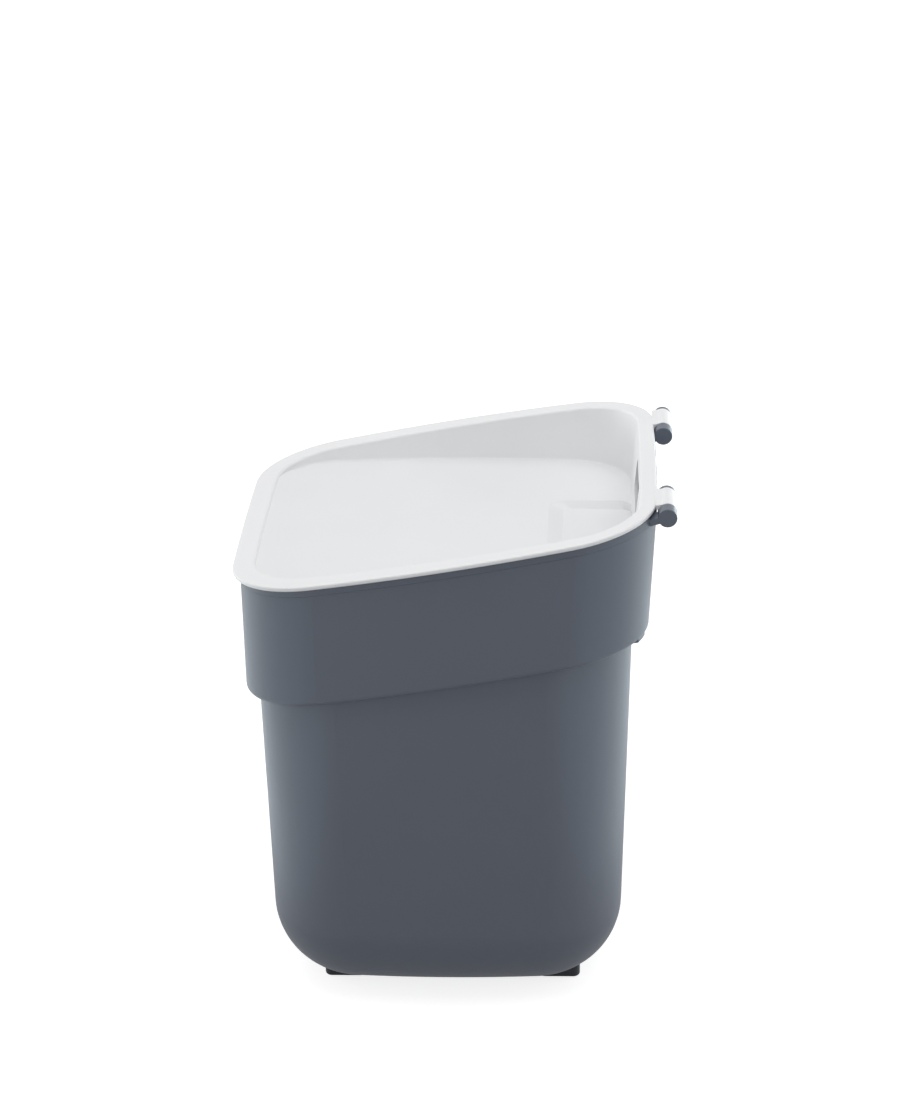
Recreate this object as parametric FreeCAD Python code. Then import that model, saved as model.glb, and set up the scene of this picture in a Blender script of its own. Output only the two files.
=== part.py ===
import FreeCAD, Part
import math
import os

V = FreeCAD.Vector

# Plan outline of the lid. Front is -Y, the hinges are at the back, +Y
lid_half_width = 117.0
lid_front = 115.7
lid_back = 115.7
lid_corner_radius = 51.0
side_bow_radius = 675.0
end_bow_radius = 4000.0

# Rim plane: the lid's flat top, level across and rising towards the back
rim_height = 277.0
rim_slope_deg = 9.2

# Lid: flange and tray
lid_lip = 2.5
lid_edge_round = 0.9
lid_wall = 2.0
tray_drop = 20.0
tray_draft_deg = 6.0
tray_inset_front = 12.8
tray_inset_back = 12.8
tray_inset_side = 14.5
tray_floor_round = 1.6
tray_lip_round = 1.2
tray_ramp = 10.0
tray_ramp_rise = 2.0

# Lid: sloping pocket in the tray floor and slot in the tray's back wall
pocket_width = 68.0
pocket_length = 47.0
pocket_ramp = 8.0
pocket_front_depth = 3.4
pocket_back_depth = 4.4
pocket_back_margin = 0.3
pocket_corner_radius = 8.0
pocket_side_slope = 3.0
pocket_back_slope = 0.4
slot_width = 52.0
slot_height = 18.0
slot_round = 5.0
slot_rise = 20.5

# Tub: collar above and body below, as insets from the lid's outline
wall = 2.4
collar_inset_front = 3.8
collar_inset_back = 0.7
collar_inset_side = 3.6
collar_draft_front_deg = 0.3
collar_draft_back_deg = 3.6
collar_draft_side_deg = 1.5
collar_depth = 72.8
collar_edge_round = 2.5
collar_corner_inset = 3.0
body_inset_front = 10.3
body_inset_back = 13.4
body_inset_side = 11.8
body_draft_front_deg = 1.3
body_draft_back_deg = 2.0
body_draft_side_deg = 1.0
body_datum_drop = 70.0
body_corner_inset = 1.0
base_height = 5.2
base_round = 44.5

# Bag ring over the tub's rim
lid_seat_gap = 0.3
ring_plate = 2.0
ring_lip_height = 4.6
ring_lip_wall = 1.1
ring_skirt_wall = 1.4
ring_skirt_depth = 14.0
ring_fit = 0.1
bag_gap = 0.4

# Hinges
hinge_inset_side = 53.3
hinge_offset = 5.0
hinge_axis_drop = 4.9
barrel_radius = 5.15
barrel_edge_round = 0.5
knuckle_length = 9.0
sleeve_length = 24.0
sleeve_web = 0.6
pin_radius = 2.5
pin_running_fit = 0.06
pin_seat_fit = 0.02
pin_seat_depth = 7.0
head_length = 3.0
hinge_side_gap = 0.35
notch_gap = 0.6
arm_thickness = 3.6
arm_root_drop = 2.65
arm_root_depth = 4.0
step_rib_height = 1.6
step_rib_inset = 0.6

# Feet, inset from the body's walls at the base
foot_length = 24.0
foot_width = 24.0
foot_inset_side = 41.5
foot_inset_front = 27.0
foot_inset_back = 22.5
foot_corner_radius = 4.0
foot_edge_round = 1.6

# Working values: how far cuts pass a face, least corner beside a fillet, and tests for edges
overcut = 1.0
least_corner = 1.0
touching = 0.01
parallel = 0.99

slope = math.tan(math.radians(rim_slope_deg))
reach = 2.0 * (lid_half_width + lid_front)
tray_floor = rim_height - tray_drop
ring_top = -lid_lip - lid_seat_gap
tub_top = ring_top - ring_plate
hinge_x = lid_half_width - hinge_inset_side
hinge_y = lid_back + hinge_offset
hinge_z = rim_height + hinge_y * slope - hinge_axis_drop
hinge_length = knuckle_length + sleeve_length + head_length + 2 * hinge_side_gap
# The origin is under the middle of the whole object, hinges included
centre_shift = V(0, (lid_front - hinge_y - barrel_radius) / 2, 0)


def mirrored(point):
    return V(-point.x, point.y, point.z)


def corner(side, end, radius, sign):
    """Start, middle and finish of the arc that rounds the corner between a side and an end."""
    side_centre = V(side - side_bow_radius, 0, 0)
    end_centre = V(0, sign * (end - end_bow_radius), 0)
    to_side = side_bow_radius - radius
    to_end = end_bow_radius - radius
    line = end_centre - side_centre
    along = (line.Length ** 2 + to_side ** 2 - to_end ** 2) / (2 * line.Length)
    across = math.sqrt(to_side ** 2 - along ** 2)
    unit = V(line).normalize()
    centre = side_centre + unit * along + V(-unit.y, unit.x, 0) * across * sign
    start = side_centre + (centre - side_centre).normalize() * side_bow_radius
    finish = end_centre + (centre - end_centre).normalize() * end_bow_radius
    middle = centre + ((start + finish) * 0.5 - centre).normalize() * radius
    return start, middle, finish


def outline(front, back, side, radius, z):
    """Level wire of four bowed sides and four round corners, run clockwise from the back."""
    front_arc = corner(side, front, radius, -1)
    back_arc = corner(side, back, radius, 1)
    right = [back_arc[::-1], (back_arc[0], V(side, 0, 0), front_arc[0]), front_arc]
    left = [tuple(mirrored(p) for p in reversed(arc)) for arc in reversed(right)]
    front_end = (front_arc[2], V(0, -front, 0), mirrored(front_arc[2]))
    back_end = (mirrored(back_arc[2]), V(0, back, 0), back_arc[2])
    lift = V(0, 0, z)
    arcs = [back_end] + right + [front_end] + left
    return Part.Wire([Part.Arc(*[p + lift for p in arc]).toShape() for arc in arcs])


def inset_outline(front, back, side, corner_inset, z):
    """The lid's outline brought in by the given amounts."""
    radius = lid_corner_radius - corner_inset
    return outline(lid_front - front, lid_back - back, lid_half_width - side, radius, z)


def lean(angle, drop):
    """Inset gained by a drafted wall over a drop."""
    return drop * math.tan(math.radians(angle))


def rim(y):
    """Height of the rim plane at y."""
    return rim_height + y * slope


def slab(low, high):
    """Everything between two planes parallel to the rim plane, offsets taken straight up."""
    corners = [(-reach, low), (reach, low), (reach, high), (-reach, high), (-reach, low)]
    points = [V(-reach, y, rim(y) + offset) for y, offset in corners]
    return Part.Face(Part.makePolygon(points)).extrude(V(2 * reach, 0, 0))


def profile(points, x_low, x_high):
    """Solid with a closed profile of (y, z) points, running from x_low to x_high."""
    wire = Part.makePolygon([V(x_low, y, z) for y, z in points + points[:1]])
    return Part.Face(wire).extrude(V(x_high - x_low, 0, 0))


def along_x(radius, x_low, x_high):
    """Cylinder on the hinge axis."""
    return Part.makeCylinder(radius, x_high - x_low, V(x_low, hinge_y, hinge_z), V(1, 0, 0))


def rounded_block(size, place, radius, direction):
    """Block with the four edges along one direction rounded."""
    block = Part.makeBox(size.x, size.y, size.z, place)
    edges = edges_on(block, lambda e: abs(e.tangentAt(e.FirstParameter).dot(direction)) > parallel)
    return block.makeFillet(radius, edges)


def tapered(low, high):
    """Solid with straight walls between two wires."""
    return Part.makeLoft([low, high], True, True)


def edges_on(shape, test):
    return [e for e in shape.Edges if test(e)]


def is_circle(edge):
    return isinstance(edge.Curve, Part.Circle)


def at_offset(edge, offset):
    """True for an edge in the plane at this offset from the rim plane."""
    return all(abs(v.Z - rim(v.Y) - offset) < touching for v in edge.Vertexes)


def at_height(edge, z):
    """True for an edge that lies level at z."""
    return abs(edge.BoundBox.ZMax - z) < touching and abs(edge.BoundBox.ZMin - z) < touching


def collar_wire(inset, z):
    drop = rim_height - z
    return inset_outline(
        collar_inset_front + inset + lean(collar_draft_front_deg, drop),
        collar_inset_back + inset + lean(collar_draft_back_deg, drop),
        collar_inset_side + inset + lean(collar_draft_side_deg, drop),
        collar_corner_inset + inset, z)


def collar(inset, low, high):
    """Collar solid, inset from its outer face, between two planes parallel to the rim."""
    fall = 2 * lid_front * slope
    bottom = collar_wire(inset, rim_height - collar_depth - fall)
    top = collar_wire(inset, rim_height + fall)
    return tapered(bottom, top).common(slab(low, high))


def body_wire(inset, z):
    drop = rim_height - body_datum_drop - z
    return inset_outline(
        body_inset_front + inset + lean(body_draft_front_deg, drop),
        body_inset_back + inset + lean(body_draft_back_deg, drop),
        body_inset_side + inset + lean(body_draft_side_deg, drop),
        body_corner_inset + inset, z)


def body(inset, top):
    """Body solid with its round base, inset from its outer face, up to a plane parallel to the rim."""
    floor = base_height + inset
    loft = tapered(body_wire(inset, floor), body_wire(inset, rim_height))
    largest = lid_corner_radius - body_corner_inset - inset - least_corner
    base_edges = edges_on(loft, lambda e: at_height(e, floor))
    loft = loft.makeFillet(min(base_round - inset, largest), base_edges)
    return loft.common(slab(-2 * rim_height, top))


def hinge_spans(centre):
    """Ends along X of the knuckle, the lid's sleeve and the pin's head of one hinge."""
    knuckle = (centre + hinge_length / 2 - knuckle_length, centre + hinge_length / 2)
    sleeve = (knuckle[0] - hinge_side_gap - sleeve_length, knuckle[0] - hinge_side_gap)
    head = (centre - hinge_length / 2, centre - hinge_length / 2 + head_length)
    return knuckle, sleeve, head


def back_strip(x_low, x_high, y_low):
    """Upright block over a stretch of the back."""
    return Part.makeBox(x_high - x_low, reach, 2 * rim_height, V(x_low, y_low, 0))


def hinge_arm(span):
    """Knuckle on a short arm that rises from the collar's back, with a rib under the step below it."""
    low, high = span
    root_y = lid_back - collar_inset_back - arm_root_depth
    root_z = hinge_z - arm_root_drop
    run = V(0, hinge_y - root_y, hinge_z - root_z)
    side = V(0, -run.z, run.y).normalize() * (arm_thickness / 2)
    ends = [(root_y, root_z, 1), (hinge_y, hinge_z, 1), (hinge_y, hinge_z, -1), (root_y, root_z, -1)]
    arm = profile([(y + s * side.y, z + s * side.z) for y, z, s in ends], low, high)
    knuckle = along_x(barrel_radius, low, high)
    knuckle = knuckle.makeFillet(barrel_edge_round, edges_on(knuckle, is_circle))
    rib = collar(step_rib_inset, -collar_depth - step_rib_height, wall / 2 - collar_depth)
    rib = rib.common(back_strip(low, high, 0))
    return knuckle.fuse([arm, rib])


def tub():
    shell = collar(0, -collar_depth, tub_top)
    lower = edges_on(shell, lambda e: at_offset(e, -collar_depth))
    shell = shell.makeFillet(collar_edge_round, lower).fuse(body(0, -collar_depth / 2))
    spans = [hinge_spans(sign * hinge_x)[0] for sign in (-1, 1)]
    shell = shell.fuse([hinge_arm(span) for span in spans])
    shell = shell.cut([collar(wall, wall - collar_depth, 2 * rim_height), body(wall, wall - collar_depth)])
    rebate = collar(-overcut, ring_top - ring_lip_height - ring_fit, rim_height)
    rebate = rebate.cut(collar(ring_lip_wall + ring_fit, -2 * collar_depth, 2 * rim_height))
    sockets = [along_x(pin_radius + pin_seat_fit, low - overcut, low + pin_seat_depth) for low, high in spans]
    rebate = rebate.cut([back_strip(low, high, 0) for low, high in spans])
    return shell.cut([rebate] + sockets).removeSplitter()


def bag_ring():
    skirt_inset = wall + bag_gap
    outside = collar(0, ring_top - ring_lip_height, ring_top)
    under_lip = collar(ring_lip_wall, ring_top - 2 * ring_lip_height, tub_top)
    skirt = collar(skirt_inset, ring_top - ring_skirt_depth, ring_top)
    hole = collar(skirt_inset + ring_skirt_wall, -collar_depth, 0)
    ring = outside.cut(under_lip).fuse(skirt).cut(hole)
    inside = collar(wall + ring_fit, -collar_depth, rim_height)
    gaps = []
    for sign in (-1, 1):
        knuckle, middle, head = hinge_spans(sign * hinge_x)
        over_arm = back_strip(knuckle[0] - hinge_side_gap, knuckle[1] + hinge_side_gap, lid_back / 2)
        gaps.append(over_arm.cut(inside))
        gaps.append(notch(middle))
        gaps.append(notch(head))
    return ring.cut(gaps).removeSplitter()


def tray_wire(inset, z):
    rise = lean(tray_draft_deg, z - tray_floor)
    return inset_outline(
        tray_inset_front - rise - inset, tray_inset_back - rise - inset,
        tray_inset_side - rise - inset, tray_inset_side - rise - inset, z)


def tray(grow):
    """Tapered tray solid, grown outwards and down from its inner face."""
    return tapered(tray_wire(grow, tray_floor - grow), tray_wire(grow, rim_height + 2 * tray_drop))


def pocket_wire(half, front, back, radius, z_front, z_back):
    """Rounded outline of the pocket, its height changing evenly from front to back."""
    bend = radius * (1 - math.sqrt(0.5))
    stops = [
        (half, front + radius), (half, back - radius), (half - radius, back), (radius - half, back),
        (-half, back - radius), (-half, front + radius), (radius - half, front), (half - radius, front)]
    middles = [
        (half - bend, back - bend), (bend - half, back - bend),
        (bend - half, front + bend), (half - bend, front + bend)]
    rise = (z_back - z_front) / (back - front)
    stops = [V(x, y, z_front + (y - front) * rise) for x, y in stops]
    middles = [V(x, y, z_front + (y - front) * rise) for x, y in middles]
    edges = []
    for i, middle in enumerate(middles):
        start, end, after = stops[2 * i], stops[2 * i + 1], stops[(2 * i + 2) % len(stops)]
        edges.append(Part.LineSegment(start, end).toShape())
        edges.append(Part.Arc(end, middle, after).toShape())
    return Part.Wire(edges)


def pocket(grow):
    """Finger pocket with sloping sides under the tray floor, grown outwards and down from its inner face."""
    back = lid_back - tray_inset_back - pocket_back_margin
    front = back - pocket_length
    half = pocket_width / 2 + grow
    radius = pocket_corner_radius + grow
    level = tray_floor - grow
    mouth = pocket_wire(half, front - grow, back + grow, radius, level, level)
    bottom = pocket_wire(
        half - pocket_side_slope, front - grow + pocket_ramp, back + grow - pocket_back_slope,
        radius - pocket_side_slope, level - pocket_front_depth, level - pocket_back_depth)
    return tapered(bottom, mouth).fuse(Part.Face(mouth).extrude(V(0, 0, lid_wall / 2)))


def front_ramp():
    """Gentle ramp from the tray floor up to the foot of the front lip."""
    front = lid_front - tray_inset_front
    rise = tray_ramp_rise / tray_ramp
    points = [
        (tray_ramp - front, tray_floor), (-lid_front, tray_floor + (tray_inset_front + tray_ramp) * rise),
        (-lid_front, tray_floor - lid_wall / 2), (tray_ramp - front, tray_floor - lid_wall / 2)]
    return profile(points, -reach, reach).common(tray(lid_wall / 2))


def slot():
    """Rounded slot through the tray's back wall."""
    wall_y = lid_back - tray_inset_back
    size = V(slot_width, tray_inset_back, slot_height)
    place = V(-slot_width / 2, wall_y - tray_inset_back / 2, tray_floor + slot_rise - slot_height / 2)
    return rounded_block(size, place, slot_round, V(0, 1, 0))


def flange():
    """Flat rim of the lid with its outer edge rounded above and below."""
    plate = Part.Face(inset_outline(0, 0, 0, 0, 0)).extrude(V(0, 0, 2 * rim_height))
    plate = plate.common(slab(-lid_lip, 0))
    outer_edges = edges_on(plate, lambda e: at_offset(e, 0) or at_offset(e, -lid_lip))
    return plate.makeFillet(lid_edge_round, outer_edges)


def sleeve(span):
    """Hinge sleeve with the web that joins it to the flange."""
    low, high = span
    inner = lid_back - hinge_x ** 2 / (2 * end_bow_radius) - sleeve_web
    points = [
        (inner, rim(inner)), (hinge_y, rim(hinge_y)),
        (hinge_y, hinge_z), (lid_back, rim(lid_back) - lid_lip), (inner, rim(inner) - lid_lip)]
    return along_x(barrel_radius, low, high).fuse(profile(points, low, high))


def notch(span):
    """Room in the lid's edge for a knuckle or a pin's head."""
    return along_x(barrel_radius + notch_gap, span[0] - hinge_side_gap, span[1] + hinge_side_gap)


def lid():
    shell = tray(lid_wall).common(slab(-2 * rim_height, -lid_lip / 2)).fuse([flange(), pocket(lid_wall)])
    inner = tray(0)
    floor_edges = edges_on(inner, lambda e: at_height(e, tray_floor))
    shell = shell.cut(inner.makeFillet(tray_floor_round, floor_edges))
    mouth = tray(touching)
    lip_edges = edges_on(shell, lambda e: at_offset(e, 0) and mouth.isInside(e.CenterOfMass, touching, True))
    shell = shell.makeFillet(tray_lip_round, lip_edges).fuse(front_ramp())
    shell = shell.cut([pocket(0), slot()])
    spans = [hinge_spans(sign * hinge_x) for sign in (-1, 1)]
    shell = shell.fuse([sleeve(middle) for knuckle, middle, head in spans])
    cuts = []
    for knuckle, middle, head in spans:
        cuts.append(along_x(pin_radius + pin_running_fit, middle[0] - overcut, middle[1] + overcut))
        cuts.append(notch(knuckle))
        cuts.append(notch(head))
    return shell.cut(cuts).removeSplitter()


def hinge_pin(centre):
    knuckle, middle, head = hinge_spans(centre)
    cap = along_x(barrel_radius, *head)
    cap = cap.makeFillet(barrel_edge_round, edges_on(cap, is_circle))
    shaft = along_x(pin_radius, head[0] + head_length / 2, knuckle[0] + pin_seat_depth)
    return cap.fuse(shaft).removeSplitter()


def foot(side, end):
    """Rubber foot whose top follows the round base that it sits under."""
    drop = rim_height - body_datum_drop - base_height
    edge_x = lid_half_width - body_inset_side - lean(body_draft_side_deg, drop) - foot_inset_side
    front_y = lid_front - body_inset_front - lean(body_draft_front_deg, drop) - foot_inset_front
    back_y = lid_back - body_inset_back - lean(body_draft_back_deg, drop) - foot_inset_back
    x = edge_x - foot_width if side > 0 else -edge_x
    y = back_y - foot_length if end > 0 else -front_y
    size = V(foot_width, foot_length, base_round)
    block = rounded_block(size, V(x, y, 0), foot_corner_radius, V(0, 0, 1))
    block = block.makeFillet(foot_edge_round, edges_on(block, lambda e: at_height(e, 0)))
    return block.cut(body(0, -collar_depth))


def build():
    nodes = {"tub": tub(), "bag_ring": bag_ring(), "lid": lid()}
    for side, side_name in ((-1, "left"), (1, "right")):
        nodes["hinge_pin_" + side_name] = hinge_pin(side * hinge_x)
        for end, end_name in ((-1, "front"), (1, "back")):
            nodes["foot_" + end_name + "_" + side_name] = foot(side, end)
    return nodes


os.makedirs("parts", exist_ok=True)
for name, shape in build().items():
    shape.translate(centre_shift)
    shape.exportStep("parts/" + name + ".step")
    print(name, len(shape.Solids), shape.isValid(), round(shape.Volume / 1000, 2), "cm3")
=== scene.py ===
import math

import bpy
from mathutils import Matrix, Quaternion, Vector


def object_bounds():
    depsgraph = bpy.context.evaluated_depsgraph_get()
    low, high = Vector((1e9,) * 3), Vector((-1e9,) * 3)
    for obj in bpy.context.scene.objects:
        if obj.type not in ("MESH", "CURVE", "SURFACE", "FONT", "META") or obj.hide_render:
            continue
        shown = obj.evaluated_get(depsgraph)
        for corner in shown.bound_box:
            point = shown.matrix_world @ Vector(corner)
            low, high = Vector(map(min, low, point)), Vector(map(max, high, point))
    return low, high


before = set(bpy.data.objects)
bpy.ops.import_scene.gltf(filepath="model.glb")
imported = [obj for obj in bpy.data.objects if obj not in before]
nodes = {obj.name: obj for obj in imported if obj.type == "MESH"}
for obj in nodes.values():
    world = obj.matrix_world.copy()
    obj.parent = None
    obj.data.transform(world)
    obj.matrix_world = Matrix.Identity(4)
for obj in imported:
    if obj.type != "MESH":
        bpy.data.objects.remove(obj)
cad_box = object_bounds()

# Camera: where it stands, what it looks at, its tip to the side, and its lens as a 36 mm camera has it
camera_place = Vector((1.6313, 0.0802, 0.9040))
camera_target = Vector((0.0, -0.0050, 0.2390))
camera_tip = -1.198
sensor_long_side = 36.0
camera_lens = 101.84

# Finishes: linear colours and roughness of each plastic and of the feet
slate = (0.093, 0.109, 0.143)
slate_roughness = 0.42
pale_grey = (0.80, 0.805, 0.815)
pale_roughness = 0.45
dark_rubber = (0.030, 0.034, 0.042)
rubber_roughness = 0.75
rubber_sheen = 0.1

# Grain that the spark-eroded mould leaves on the plastic and rubber: size and depth in metres, how broken
spark_grain = 0.0004
spark_depth = 0.000012
rubber_grain = 0.0007
rubber_depth = 0.00004
grain_detail = 2.0
grain_breakup = 0.6

# Slow changes of tint and gloss from the flow in the mould: size in metres, how broken, how strong
flow_size = 0.09
flow_detail = 3.0
flow_breakup = 0.55
tint_change = 0.04
gloss_change = 0.05

# Floor and sky: how they light the part, what the camera sees of them, and what reflections show
floor_size = 30.0
floor_drop = 0.0002
floor_albedo = 0.50
floor_glow = 0.80
floor_glow_reflected = 0.30
sky_colour = (1.0, 1.0, 1.0, 1.0)
sky_strength = 0.48
sky_seen = 1.0

# Lamps: a wide one overhead, a front fill, and a panel at each side, with the right one's place given
overhead_place = (0.0, 0.0, 2.2)
overhead_size = (2.6, 2.6)
overhead_power = 25.0
fill_place = (3.4, 0.2, 1.8)
fill_size = (2.4, 2.4)
fill_power = 13.0
panel_place = (-0.90, 2.2, 0.30)
panel_size = (1.8, 0.6)
panel_power = 20.0

# Cool rim light and floor card at each side, which only show in reflections
rim_place = (-1.50, 1.9, 0.35)
rim_size = (1.6, 0.8)
left_rim_power = 3.0
right_rim_power = 66.0
card_place = (0.25, 0.90, 0.002)
card_size = (1.4, 1.4)
card_power = 5.4
reflected_tint = (0.84, 1.0, 1.04)


def add(tree, kind, **values):
    """Node of the given kind with its input values set by socket name, spaces written as underscores."""
    node = tree.nodes.new(kind)
    for name, value in values.items():
        node.inputs[name.replace("_", " ")].default_value = value
    return node


def shaded(colour, share):
    """Colour times a share, with the alpha that a colour socket takes."""
    return (*[min(1.0, c * share) for c in colour], 1.0)


def moulded(name, colour, roughness, grain, depth, sheen=0.0):
    """Moulded finish: a fine eroded grain, and slow changes of tint and gloss from the flow in the mould."""
    material = bpy.data.materials.new(name)
    material.use_nodes = True
    tree = material.node_tree
    surface = tree.nodes["Principled BSDF"]
    surface.inputs["Sheen Weight"].default_value = sheen
    place = add(tree, "ShaderNodeTexCoord")

    flow = add(tree, "ShaderNodeTexNoise", Scale=1.0 / flow_size, Detail=flow_detail, Roughness=flow_breakup)
    tree.links.new(place.outputs["Object"], flow.inputs["Vector"])
    tint = add(tree, "ShaderNodeMix")
    tint.data_type = "RGBA"
    tint.inputs["A"].default_value = shaded(colour, 1.0 - tint_change)
    tint.inputs["B"].default_value = shaded(colour, 1.0 + tint_change)
    tree.links.new(flow.outputs["Fac"], tint.inputs["Factor"])
    tree.links.new(tint.outputs["Result"], surface.inputs["Base Color"])

    gloss = add(tree, "ShaderNodeMapRange", To_Min=roughness - gloss_change, To_Max=roughness + gloss_change)
    tree.links.new(flow.outputs["Fac"], gloss.inputs["Value"])
    tree.links.new(gloss.outputs["Result"], surface.inputs["Roughness"])

    eroded = add(tree, "ShaderNodeTexNoise", Scale=1.0 / grain, Detail=grain_detail, Roughness=grain_breakup)
    tree.links.new(place.outputs["Object"], eroded.inputs["Vector"])
    relief = add(tree, "ShaderNodeBump", Distance=depth)
    tree.links.new(eroded.outputs["Fac"], relief.inputs["Height"])
    tree.links.new(relief.outputs["Normal"], surface.inputs["Normal"])
    return material


def finish_pieces():
    """Pale plastic on the lid, rubber on the feet, and slate plastic on the tub, ring and hinge pins."""
    slate_satin = moulded("slate_satin_plastic", slate, slate_roughness, spark_grain, spark_depth)
    pale_satin = moulded("pale_satin_plastic", pale_grey, pale_roughness, spark_grain, spark_depth)
    rubber = moulded("dark_rubber", dark_rubber, rubber_roughness, rubber_grain, rubber_depth, rubber_sheen)
    for name, piece in nodes.items():
        finish = slate_satin
        if name == "lid":
            finish = pale_satin
        if name.startswith("foot"):
            finish = rubber
        piece.data.materials.clear()
        piece.data.materials.append(finish)


def seen_strength(tree, on_object, to_camera, in_reflections):
    """Strength of a glow as light on the part, to the camera, and in reflections or through glass."""
    rays = add(tree, "ShaderNodeLightPath")
    mirrored = add(tree, "ShaderNodeMath")
    mirrored.operation = "MAXIMUM"
    tree.links.new(rays.outputs["Is Glossy Ray"], mirrored.inputs[0])
    tree.links.new(rays.outputs["Is Transmission Ray"], mirrored.inputs[1])
    reflected = add(tree, "ShaderNodeMapRange", To_Min=on_object, To_Max=in_reflections)
    tree.links.new(mirrored.outputs["Value"], reflected.inputs["Value"])
    strength = add(tree, "ShaderNodeMapRange", To_Max=to_camera)
    tree.links.new(rays.outputs["Is Camera Ray"], strength.inputs["Value"])
    tree.links.new(reflected.outputs["Result"], strength.inputs["To Min"])
    return strength.outputs["Result"]


def floor_material():
    """Pale floor that takes the shadow, looks white to the camera and is clear from below."""
    material = bpy.data.materials.new("studio_floor")
    material.use_nodes = True
    tree = material.node_tree
    tree.nodes.remove(tree.nodes["Principled BSDF"])
    matt = add(tree, "ShaderNodeBsdfDiffuse", Color=(floor_albedo, floor_albedo, floor_albedo, 1.0))
    glow = add(tree, "ShaderNodeEmission")
    tree.links.new(seen_strength(tree, 0.0, floor_glow, floor_glow_reflected), glow.inputs["Strength"])
    both = add(tree, "ShaderNodeAddShader")
    tree.links.new(matt.outputs["BSDF"], both.inputs[0])
    tree.links.new(glow.outputs["Emission"], both.inputs[1])
    one_sided = add(tree, "ShaderNodeMixShader")
    tree.links.new(add(tree, "ShaderNodeNewGeometry").outputs["Backfacing"], one_sided.inputs["Fac"])
    tree.links.new(both.outputs["Shader"], one_sided.inputs[1])
    tree.links.new(add(tree, "ShaderNodeBsdfTransparent").outputs["BSDF"], one_sided.inputs[2])
    tree.links.new(one_sided.outputs["Shader"], tree.nodes["Material Output"].inputs["Surface"])
    return material


def studio_floor():
    """Square floor just under the feet."""
    half = floor_size / 2
    corners = [(x * half, y * half, -floor_drop) for x, y in ((-1, -1), (1, -1), (1, 1), (-1, 1))]
    mesh = bpy.data.meshes.new("studio_floor")
    mesh.from_pydata(corners, [], [(0, 1, 2, 3)])
    mesh.materials.append(floor_material())
    floor = bpy.data.objects.new("studio_floor", mesh)
    bpy.context.scene.collection.objects.link(floor)


def studio_sky():
    """Even white sky, dimmer as light on the part than the camera and reflections see it."""
    world = bpy.data.worlds.new("studio_sky")
    world.use_nodes = True
    tree = world.node_tree
    sky = tree.nodes["Background"]
    sky.inputs["Color"].default_value = sky_colour
    tree.links.new(seen_strength(tree, sky_strength, sky_seen, sky_seen), sky.inputs["Strength"])
    bpy.context.scene.world = world


def soft_lamp(name, place, size, power, aim, only_reflected=False):
    """Rectangular soft lamp that faces a point, and lights it or is only reflected in it."""
    data = bpy.data.lights.new(name, "AREA")
    data.shape = "RECTANGLE"
    data.size, data.size_y = size
    data.energy = power
    lamp = bpy.data.objects.new(name, data)
    lamp.location = place
    lamp.rotation_euler = (Vector(aim) - Vector(place)).to_track_quat("-Z", "Y").to_euler()
    lamp.visible_camera = False
    if only_reflected:
        lamp.visible_diffuse = False
        data.color = reflected_tint
    bpy.context.scene.collection.objects.link(lamp)


def studio_lamps():
    """Overhead lamp and front fill, and a panel, a rim light and a floor card at each side."""
    middle = (0.0, 0.0, cad_box[1][2] / 2)
    soft_lamp("overhead_lamp", overhead_place, overhead_size, overhead_power, middle)
    for side, sign, rim_power in (("left", -1, left_rim_power), ("right", 1, right_rim_power)):
        across = Vector((1, sign, 1))
        soft_lamp(side + "_panel", across * Vector(panel_place), panel_size, panel_power, middle)
        rim = across * Vector(rim_place)
        soft_lamp(side + "_rim", rim, rim_size, rim_power, middle, only_reflected=True)
        card = across * Vector(card_place)
        above = card + Vector((0, 0, 1))
        soft_lamp(side + "_card", card, card_size, card_power, above, only_reflected=True)
    soft_lamp("front_fill", fill_place, fill_size, fill_power, middle)


def camera():
    """Camera at the photograph's viewing angle."""
    data = bpy.data.cameras.new("camera")
    data.sensor_width = sensor_long_side
    data.lens = camera_lens
    view = bpy.data.objects.new("camera", data)
    view.location = camera_place
    view.rotation_mode = "QUATERNION"
    aim = (camera_target - camera_place).to_track_quat("-Z", "Y")
    view.rotation_quaternion = aim @ Quaternion((0, 0, 1), math.radians(camera_tip))
    bpy.context.scene.collection.objects.link(view)
    bpy.context.scene.camera = view


finish_pieces()
studio_floor()
studio_sky()
studio_lamps()
camera()
bpy.context.scene.view_settings.view_transform = "Standard"
